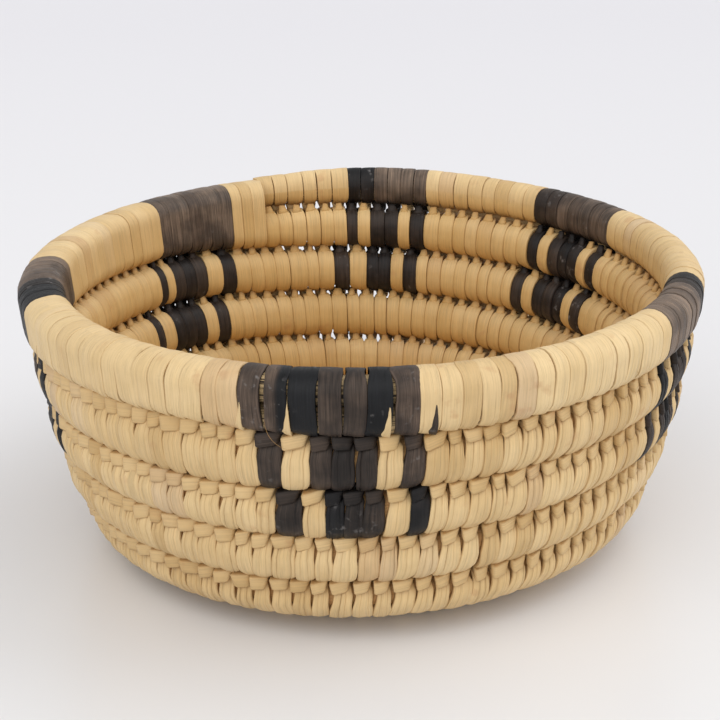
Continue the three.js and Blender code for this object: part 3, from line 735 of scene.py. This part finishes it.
bundleLook = {
    "splint": [(.42, (.02, .011, .006)), (.46, (.38, .26, .12)), (.62, (.60, .43, .22))],
    # painted shade: the bundle turns browner where it lies down between the rows
    "gapShade": (.52, .275, .095), "gapShadeShare": .85, "fine": [(.3, grey(.6)), (.7, grey(1.1))],
    "splintGrain": (1.1, .02, 2), "fineGrain": (4.5, .12, 3), "fineShare": .7,
    "bump": .5, "bumpDepth": .0006, "rough": .8,
}


# fibre bundle: splints side by side along the coil, with dark lines between them, and painted shade where it lies down
# between the rows
def bundleMaterial():
    material, tree, shader = newMaterial("raw_bundle")
    uv = node(tree, "ShaderNodeUVMap", uv_map="strip").outputs[0]
    splint = fibre(tree, uv, *bundleLook["splintGrain"])
    fine = fibre(tree, uv, *bundleLook["fineGrain"])
    colour = ramp(tree, splint, bundleLook["splint"])
    # painted shade where the bundle lies down between the rows
    gapShade = node(tree, "ShaderNodeAttribute", attribute_name="shade").outputs["Fac"]
    gapShadeMix = ramp(tree, gapShade, [(0, grey(0)), (1, grey(bundleLook["gapShadeShare"]))])
    colour = mixed(tree, "MIX", gapShadeMix, colour, (*bundleLook["gapShade"], 1))
    colour = mixed(tree, "MULTIPLY", bundleLook["fineShare"], colour, ramp(tree, fine, bundleLook["fine"]))
    tree.links.new(colour, shader.inputs["Base Color"])
    bump = node(tree, "ShaderNodeBump", {"Height": splint, "Strength": bundleLook["bump"],
                                         "Distance": bundleLook["bumpDepth"]})
    tree.links.new(bump.outputs[0], shader.inputs["Normal"])
    shader.inputs["Roughness"].default_value = bundleLook["rough"]
    return material


naturalLeaf, darkLeaf = leafMaterial("natural_leaf"), leafMaterial("dark_leaf")

# sewn pieces: each takes its own strips, and the knots of the strips that are sewn to a row above
nodeNames = sorted(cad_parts)
stands = {
    "rim_wrapping": "rim_natural_", "patterned_rows": "patterned_row_natural_",
    "plain_rows": "plain_row_natural_", "floor_rows": "floor_",
    **{f"motif_{n}": f"motif_dark_{n}" for n in range(1, 7)},
    **{f"motif_bars_{n}": f"motif_light_{n}" for n in range(1, 7)},
}
for name, prefix in stands.items():
    mine = [g for g in strips if g["piece"] == name]
    parts = MeshParts()
    onRim = [g for g in mine if g["row"] == 0]
    onRows = [g for g in mine if g["row"] > 0]
    dark = mine[0]["dark"]
    if onRim:
        addBands(parts, onRim, rimStrip, True)
    if onRows:
        style = floorStrip if name == "floor_rows" else motifStrip if name.startswith("motif") else rowStrip
        sewn = addBands(parts, onRows, style, False)
        addKnots(parts, floorKnot if name == "floor_rows" else knot, *sewn)
        addKnots(parts, neck, *sewn)
    if name == "floor_rows":
        addStart(parts, curledStart)
    mySlivers = [s for s in slivers if name == (f"motif_{s[0]}" if s[2] else f"motif_bars_{s[0]}")]
    if mySlivers:
        ends = []
        for number, stitches, _ in mySlivers:
            edges = motifEdges(motifs[number - 1], 0)
            at, half = edges[0] + stitches * (edges[1] - edges[0]), (edges[1] - edges[0]) / 2
            ends.append({"from": at - half, "to": at + half, "tone": (.5, .5), "trim": (0, 0)})
        addBands(parts, ends, sliverStrip, True)
    piece = parts.build(name, darkLeaf if dark else naturalLeaf)
    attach(piece, "root")
    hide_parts(*[n for n in nodeNames if n.startswith(prefix)])
print("sewn pieces:", len(stands))

# the bundle inside: one tube along the rows, into the foot of the rim, then tapering on top of its last turn
bundle = {
    "inset": 0.0015, "stepsPerTurn": 120, "tip": 0.003, "coilGap": 0.0006, "settle": .15, "fill": .2, "narrowing": .12,
    "corner": .006, "endHalf": .0025,
}
# a plug behind the rim's first strip, so that the step shows the ends of the bundle and no hollow, painted partly in
# shade
plug = {"from": .006, "to": .024, "inset": .0012, "corner": rimStrip["corner"] * .9, "shade": .6}


# the rim's loop, drawn in by the inset, from one turn to another, with both ends closed on the axis
def addPlug(parts, around):
    loop = rowStrip["loop"]
    at, size = np.array([(plug["from"], .02), (plug["from"], 1), (plug["to"], 1), (plug["to"], .02)]).T
    at, size = at[:, None] + 0 * loop[None, :, 0], size[:, None]
    sx, sy, nx, ny = loop.T[:, None, :]
    depth = (rimHeight(at) - coil["rowGap"] / 2) / 2
    corner = plug["corner"]
    out = size * (sx * (coil["rimWidth"] / 2 - plug["inset"] - corner) + corner * nx)
    up = size * (sy * (depth - plug["inset"] - corner) + corner * ny)
    points = besidePath(at, wallPlace(depth), out, up + climbOnRim(at, depth - up))
    quads, corners = tubeQuads(len(at), len(loop))
    parts.add(points, quads, tubeMap(corners, around, np.arange(len(at)) * 2.0), {"shade": plug["shade"] + 0 * at})


# half sizes and place change from the row's to the rim's over a short eased stretch on each side of the step
def bundleTube():
    tipTurn = 2 - (bundle["tip"] + bundle["coilGap"]) / coil["pitch"]
    turn = np.linspace(startTurn + .02, tipTurn, int((tipTurn - startTurn) * bundle["stepsPerTurn"]))
    inset = bundle["inset"]
    rimHalfOut = (coil["rimWidth"] - rimNarrowed(turn)) / 2 - inset
    rimHalfUp = coil["rimEndHeight"] / 2 - inset
    inRim = ease(turn / bundle["settle"])
    past = np.clip(turn - 1, 0, 1)
    room = (coil["pitch"] * (1 - past) - bundle["coilGap"]) / 2
    topHalf = rimHalfUp + (room - rimHalfUp) * ease(past / bundle["fill"])
    depth = np.where(turn > 1, inset + topHalf, rowDepth(turn) * (1 - inRim)
                     + (rimHeight(turn) - coil["rimEndHeight"] / 2) * inRim)
    fromRow = rowPlace(np.minimum(turn, 0))
    fromRim = wallPlace(depth)
    place = [np.where(turn <= 0, a, b)[:, None] for a, b in zip(fromRow, fromRim)]
    narrow = ease(1 + turn / bundle["narrowing"]) * (turn <= 0) + (turn > 0)
    rowOut, rowUp = rowHalf - inset - rowStrip["crest"], rowHalfUp(turn) - inset - rowStrip["crest"]
    halfUp = np.where(turn > 1, topHalf, rowUp + (np.minimum(rimHalfUp, rowUp) - rowUp) * narrow)
    halfUp = np.where(turn > 0, np.where(turn > 1, topHalf, rimHalfUp * inRim + halfUp * (1 - inRim)), halfUp)
    halfOut = rowOut + (rimHalfOut - rowOut) * inRim
    halfOut = np.where(turn > 1, rimHalfOut + (bundle["endHalf"] - rimHalfOut) * past, halfOut)
    loop = rowStrip["loop"]
    corner = np.minimum(bundle["corner"], np.minimum(halfOut, halfUp) * .95)[:, None]
    sx, sy, nx, ny = loop.T[:, None, :]
    out = (rimNarrowed(turn) / 2)[:, None] + sx * (halfOut[:, None] - corner) + corner * nx
    up = sy * (halfUp[:, None] - corner) + corner * ny
    inRimTurn = np.where(turn > 1, past, turn)[:, None]
    up = up + np.where(turn[:, None] <= 0, climbOnRow(turn[:, None], up), climbOnRim(inRimTurn, depth[:, None] - up))
    points = besidePath(turn[:, None], place, out, up)
    ends = points[[0, -1]].mean(1, keepdims=True) + 0 * points[[0, -1]]  # both ends closed on the axis
    points = np.concatenate([ends[:1], points, ends[1:]])
    share, length = loopShare(loop, rowOut, float(np.median(rowUp)), bundle["corner"])
    quads, corners = tubeQuads(len(points), len(loop))
    around = np.append(share, 1) * length * 1000  # in millimetres, as the run along the coil
    run = np.cumsum(np.append(0, np.linalg.norm(np.diff(points.mean(1), axis=0), axis=1))) * 1000
    parts = MeshParts()
    gapShade = np.concatenate([[1], np.where(turn > 0, 0, 1), [0]])[:, None]  # painted shade: browner down between the rows
    parts.add(points, quads, tubeMap(corners, around, run), {"shade": gapShade + np.zeros(points.shape[:2])})
    addPlug(parts, around)
    return parts.build("bundle", bundleMaterial())


# loose fibres: thin round hairs that part from a seam; stitches past a motif's first edge on the rim, depth and out
hairs = {
    "radius": .00006, "sides": 5, "steps": 14,
    "paths": [
        (3, [(1.06, .0150, .0089), (1.12, .0185, .0094), (1.40, .0222, .0100), (1.95, .0252, .0088)]),
        (4, [(-3.4, .0120, .0089), (-3.2, .0150, .0096), (-2.6, .0172, .0093)]),
        (2, [(8.9, .0140, .0089), (9.2, .0178, .0098), (9.1, .0222, .0092)]),
    ],
}


# a hair: a five-sided tube along a smooth run through its points, closed to a tip at each end
def looseHairs():
    parts = MeshParts()
    for number, stops in hairs["paths"]:
        edges = motifEdges(motifs[number - 1], 0)
        at = np.linspace(0, len(stops) - 1, hairs["steps"])
        stops = np.array(stops)
        power = np.polyfit(np.arange(len(stops)), stops, len(stops) - 1)
        stitches, depth, out = sum(row[:, None] * at ** (len(power) - 1 - i) for i, row in enumerate(power))
        turn = edges[0] + stitches * (edges[1] - edges[0])
        line = besidePath(turn, wallPlace(depth), out, climbOnRim(turn, depth))
        angle = np.arange(hairs["sides"]) / hairs["sides"] * fullTurn
        size = hairs["radius"] * np.sin(np.linspace(0, math.pi, hairs["steps"])) ** .4
        ahead = np.gradient(line, axis=0)
        ahead /= np.linalg.norm(ahead, axis=1, keepdims=True)
        side = np.cross(ahead, [0, 0, 1])
        side /= np.linalg.norm(side, axis=1, keepdims=True)
        over = np.cross(side, ahead)
        ring = np.cos(angle)[None, :, None] * side[:, None, :] + np.sin(angle)[None, :, None] * over[:, None, :]
        points = line[:, None, :] + ring * size[:, None, None]
        quads, corners = tubeQuads(hairs["steps"], hairs["sides"])
        maps = tubeMap(corners, np.arange(hairs["sides"] + 1) * .2, np.arange(hairs["steps"]))
        plain = np.zeros(points.shape[:2])
        # here the full crevice and warmer-tint mixes give the fibre its own dark brown, not shade
        parts.add(points, quads, maps, {"tint": plain, "shade": plain + 1, "edge": plain, "bounceAndStain": plain + 1})
    return parts.build("loose_fibres", naturalLeaf)


hairPiece = looseHairs()
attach(hairPiece, "root")

bundlePiece = bundleTube()
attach(bundlePiece, "root")
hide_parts("foundation_coil")
print("loose fibres and bundle done")

# table top, light and camera
stageLook = {
    "size": 6, "near": (.775, .771, .774, 1), "far": (.718, .706, .735, 1), "fade": (-.2, 1.0), "roughness": .30,
    "room": (.98, .985, 1, 1), "roomStrength": .70,
}
half = stageLook["size"] / 2
tableMesh = bpy.data.meshes.new("table")
tableMesh.from_pydata([(-half, -half, 0), (half, -half, 0), (half, half, 0), (-half, half, 0)], [], [(0, 1, 2, 3)])
table = bpy.data.objects.new("table", tableMesh)
bpy.context.scene.collection.objects.link(table)
tableLook, tableTree, tableShader = newMaterial("table_top")
tablePlace = node(tableTree, "ShaderNodeTexCoord").outputs["Object"]
towardsBack = node(tableTree, "ShaderNodeSeparateXYZ", {0: tablePlace}).outputs[1]
fade = node(tableTree, "ShaderNodeMapRange", {"Value": towardsBack, "From Min": stageLook["fade"][0],
                                                 "From Max": stageLook["fade"][1]})
tableColour = mixed(tableTree, "MIX", fade.outputs[0], stageLook["near"], stageLook["far"])
tableTree.links.new(tableColour, tableShader.inputs["Base Color"])
tableShader.inputs["Roughness"].default_value = stageLook["roughness"]
tableMesh.materials.append(tableLook)

scene = bpy.context.scene
world = bpy.data.worlds.new("room")
scene.world = world
world.use_nodes = True
room = world.node_tree.nodes["Background"]
room.inputs["Color"].default_value = stageLook["room"]
room.inputs["Strength"].default_value = stageLook["roomStrength"]

lamps = [  # name, direction that the light comes from, strength, softness in degrees
    ("key", (-.45, -.85, .80), 1.21, 70),
    ("fill", (.85, -.34, .78), .63, 70),
    ("back", (.80, .32, .66), .75, 60),
]
for name, place, power, softness in lamps:
    light = bpy.data.lights.new(name, "SUN")
    light.energy, light.angle = power, math.radians(softness)
    lamp = bpy.data.objects.new(name, light)
    lamp.location = place
    lamp.rotation_euler = Vector(place).to_track_quat("Z", "Y").to_euler()
    scene.collection.objects.link(lamp)

# fitted to the photo's outline: 20.9 degrees down, 646 mm from a point above the floor's middle, rolled by a degree
eye = {"tilt": math.radians(20.918), "roll": math.radians(-.967), "distance": .6457, "target": .06045, "lens": 89.04}
cameraData = bpy.data.cameras.new("camera")
cameraData.lens, cameraData.sensor_width = eye["lens"], 36
camera = bpy.data.objects.new("camera", cameraData)
camera.location = (0, -eye["distance"] * math.cos(eye["tilt"]),
                   eye["target"] + eye["distance"] * math.sin(eye["tilt"]))
camera.rotation_euler = (Matrix.Rotation(math.pi / 2 - eye["tilt"], 3, "X")
                         @ Matrix.Rotation(eye["roll"], 3, "Z")).to_euler()
scene.collection.objects.link(camera)
scene.camera = camera
scene.view_settings.view_transform = "Standard"
print("stage done")
